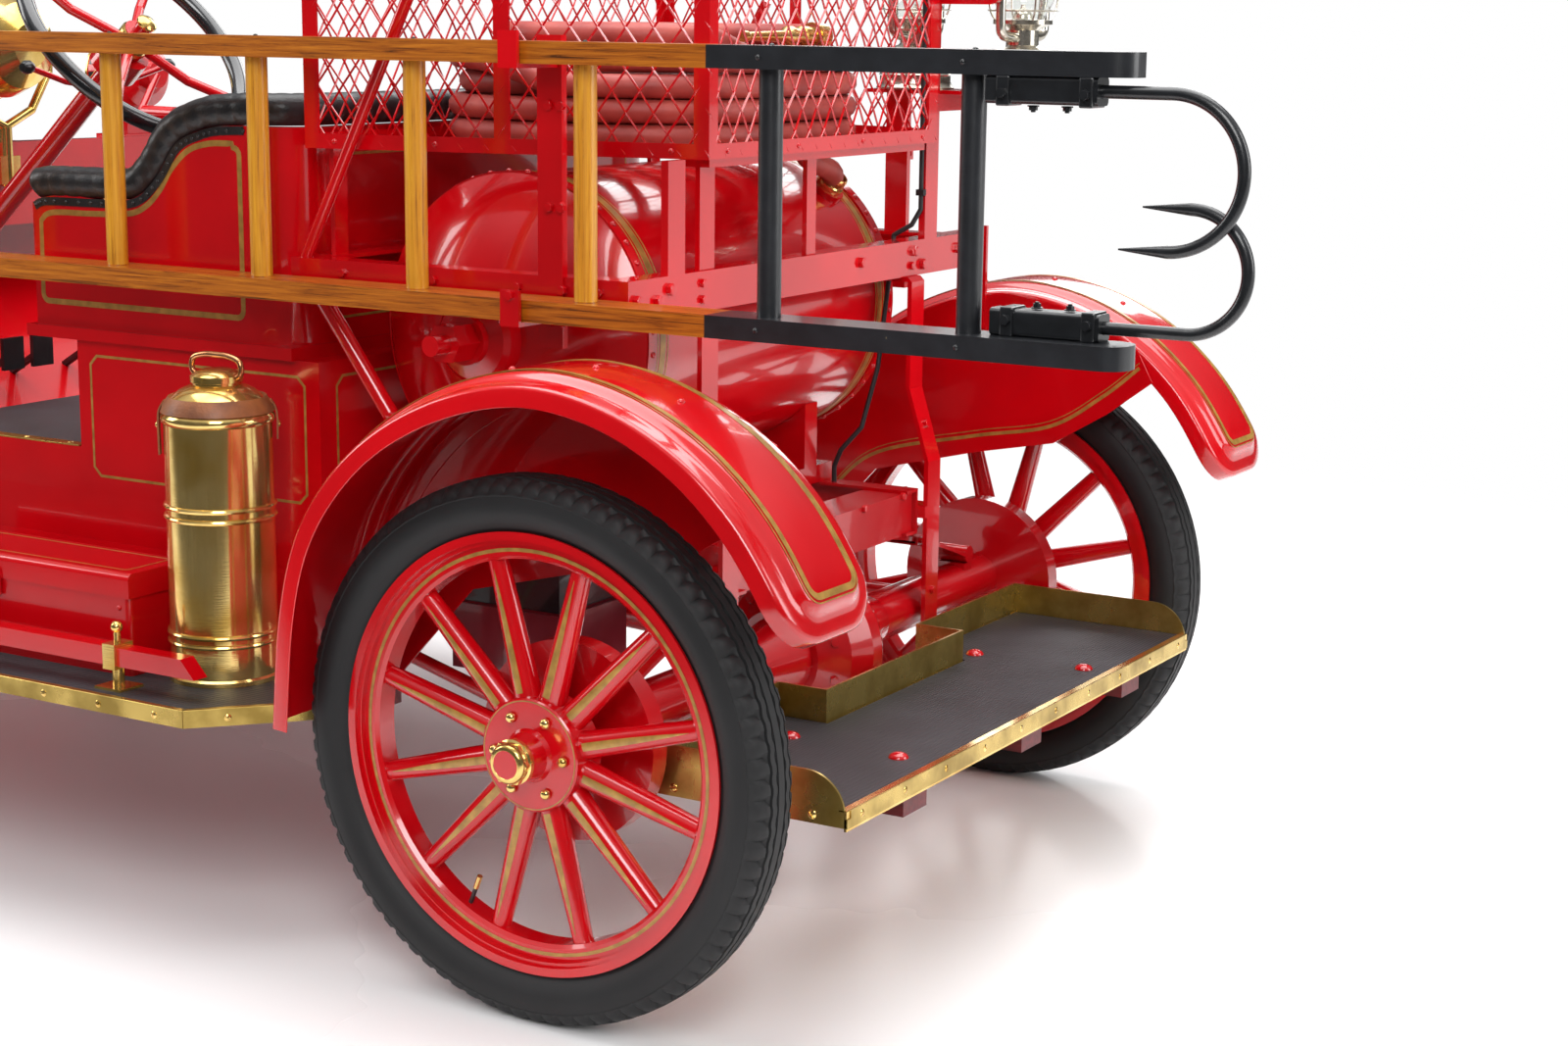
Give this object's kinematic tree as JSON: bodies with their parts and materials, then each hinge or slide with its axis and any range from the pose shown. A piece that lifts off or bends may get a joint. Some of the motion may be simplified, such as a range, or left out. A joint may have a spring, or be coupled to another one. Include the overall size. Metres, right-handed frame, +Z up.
{
  "type": "chemical fire engine",
  "caption": "Vintage chemical fire engine on a light motor chassis, with wooden-spoked wheels, tank across the back, hose basket, side ladder with roof hooks and rear step.",
  "frame": {"origin": "on the ground under the middle of the engine's box", "axes": "+X forward, +Y to the left, +Z up"},
  "size_m": [3.8854, 1.6628, 1.59],
  "materials": {
    "red_paint": "glossy crimson coach enamel",
    "black_paint": "glossy black enamel",
    "brass": "polished",
    "nickel": "polished nickel plate",
    "wood_varnish": "varnished ash",
    "leather_black": "grained black leather",
    "hose_rubber": "matte red-brown rubber",
    "cable_rubber": "matte black rubber",
    "tyre_rubber": "matte black",
    "engine_iron": "painted casting",
    "timber_red": "dark red painted timber"
  },
  "bodies": {
    "vehicle": {"chassis_frame": "red_paint", "rear_axle": "red_paint", "springs": "red_paint", "front_axle": "red_paint", "engine_block": "engine_iron", "radiator": "red_paint", "cowl": "red_paint", "body_floor": "red_paint", "side_aprons": "red_paint", "running_boards": "timber_red", "board_brass": "brass", "hose_lead": "hose_rubber", "hose_nozzle": "brass", "lamp_cable": "cable_rubber", "rear_fenders": "red_paint", "front_fenders": "red_paint", "seat_box": "red_paint", "seat_body": "red_paint", "seat_cushion": "leather_black", "seat_back_pad": "leather_black", "seat_roll": "leather_black", "chemical_tank": "red_paint", "tank_fittings": "red_paint", "equipment_frame": "red_paint", "ladder_front_post": "red_paint", "hose_basket": "red_paint", "hose_coil": "hose_rubber", "ladder": "wood_varnish", "ladder_hook_sockets": "black_paint", "rear_step": "brass", "step_timbers": "timber_red", "extinguishers": "brass", "toolbox_body": "red_paint", "side_bars": "red_paint", "side_bar_posts": "brass", "lanterns": "nickel", "searchlight": "brass", "headlights": "brass", "steering_column": "red_paint", "siren": "red_paint", "pedals": "black_paint", "exhaust": "engine_iron", "battery_box": "red_paint"},
    "knuckle_left_body": {"knuckle_left": "red_paint"},
    "knuckle_right_body": {"knuckle_right": "red_paint"},
    "tie_rod_body": {"tie_rod": "red_paint"},
    "steering_wheel_body": {"steering_wheel": "black_paint"},
    "hood_left_body": {"hood_left": "red_paint"},
    "hood_right_body": {"hood_right": "red_paint"},
    "toolbox_lid_body": {"toolbox_lid": "red_paint"},
    "roof_hook_upper_body": {"roof_hook_upper": "black_paint"},
    "roof_hook_lower_body": {"roof_hook_lower": "black_paint"},
    "wheel_front_left_body": {"wheel_front_left": "red_paint", "tyre_front_left": "tyre_rubber"},
    "wheel_front_right_body": {"wheel_front_right": "red_paint", "tyre_front_right": "tyre_rubber"},
    "wheel_rear_left_body": {"wheel_rear_left": "red_paint", "tyre_rear_left": "tyre_rubber"},
    "wheel_rear_right_body": {"wheel_rear_right": "red_paint", "tyre_rear_right": "tyre_rubber"}
  },
  "joints": [
    {"name": "steer_left", "type": "hinge", "parent": "vehicle", "child": "knuckle_left_body", "pos_m": [1.524, 0.622, 0.381], "axis": [0, 0, 1], "range_deg": [-28, 28]},
    {"name": "steer_right", "type": "hinge", "parent": "vehicle", "child": "knuckle_right_body", "pos_m": [1.524, -0.622, 0.381], "axis": [0, 0, 1], "range_deg": [-29, 29]},
    {"name": "tie_rod_pin", "type": "hinge", "parent": "knuckle_left_body", "child": "tie_rod_body", "pos_m": [1.374, 0.622, 0.351], "axis": [0, 0, 1], "range_deg": [-29, 29]},
    {"name": "steering_wheel_turn", "type": "hinge", "parent": "vehicle", "child": "steering_wheel_body", "pos_m": [0.105, 0.29, 1.315], "axis": [-0.7431, 0, 0.6691], "range_deg": [-114, 114]},
    {"name": "wheel_spin_front_left", "type": "hinge", "parent": "knuckle_left_body", "child": "wheel_front_left_body", "pos_m": [1.524, 0.711, 0.381], "axis": [0, 1, 0], "continuous": true},
    {"name": "wheel_spin_front_right", "type": "hinge", "parent": "knuckle_right_body", "child": "wheel_front_right_body", "pos_m": [1.524, -0.711, 0.381], "axis": [0, 1, 0], "continuous": true},
    {"name": "wheel_spin_rear_left", "type": "hinge", "parent": "vehicle", "child": "wheel_rear_left_body", "pos_m": [-1.016, 0.711, 0.381], "axis": [0, 1, 0], "continuous": true},
    {"name": "wheel_spin_rear_right", "type": "hinge", "parent": "vehicle", "child": "wheel_rear_right_body", "pos_m": [-1.016, -0.711, 0.381], "axis": [0, 1, 0], "continuous": true},
    {"name": "hood_left_lift", "type": "hinge", "parent": "vehicle", "child": "hood_left_body", "pos_m": [1.171, 0, 1.093], "axis": [0.9995, 0, -0.0303], "range_deg": [0, 70]},
    {"name": "hood_right_lift", "type": "hinge", "parent": "vehicle", "child": "hood_right_body", "pos_m": [1.171, 0, 1.093], "axis": [-0.9995, 0, 0.0303], "range_deg": [0, 70]},
    {"name": "toolbox_lid_lift", "type": "hinge", "parent": "vehicle", "child": "toolbox_lid_body", "pos_m": [0.011, 0.585, 0.5], "axis": [1, 0, 0], "range_deg": [0, 95]},
    {"name": "roof_hook_upper_turn", "type": "hinge", "parent": "vehicle", "child": "roof_hook_upper_body", "pos_m": [-1.678, 0.579, 1.281], "axis": [1, 0, 0], "range_deg": [0, 90]},
    {"name": "roof_hook_lower_turn", "type": "hinge", "parent": "vehicle", "child": "roof_hook_lower_body", "pos_m": [-1.678, 0.551, 0.995], "axis": [1, 0, 0], "range_deg": [0, 90]}
  ],
  "couplings": [
    {"joint": "steer_right", "follows": "steer_left", "ratio": 1},
    {"joint": "tie_rod_pin", "follows": "steer_left", "ratio": -1},
    {"joint": "steering_wheel_turn", "follows": "steer_left", "ratio": 4}
  ]
}
